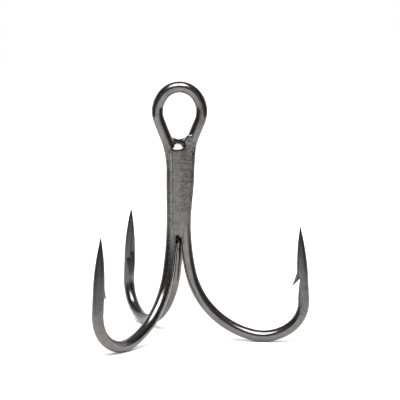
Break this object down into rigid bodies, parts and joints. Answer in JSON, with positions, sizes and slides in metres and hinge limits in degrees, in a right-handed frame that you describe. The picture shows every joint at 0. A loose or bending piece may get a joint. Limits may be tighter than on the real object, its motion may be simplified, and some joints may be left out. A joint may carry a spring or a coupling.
{
  "type": "treble hook",
  "caption": "Barbed treble fish hook: a double hook bent from one wire that also forms the ring eye, with a single hook brazed into the groove behind its legs.",
  "frame": {"origin": "centre of the ring eye", "axes": "+Z along the shank from the bends towards the eye; +Y through the eye, square to its plane, towards the side the single hook is brazed on; +X along the eye's plane, to the right when looking along +Y"},
  "size_m": [0.0318, 0.0336, 0.0388],
  "materials": {
    "hook_wire": "black nickel plating over drawn high carbon steel wire, satin gloss",
    "braze_filler": "black nickel plating over brazing alloy, smooth with small pits"
  },
  "bodies": {
    "root": {"double_hook_wire": "hook_wire", "single_hook_wire": "hook_wire", "front_braze_seam": "braze_filler", "rear_left_braze_fillet": "braze_filler", "rear_right_braze_fillet": "braze_filler"}
  },
  "joints": []
}
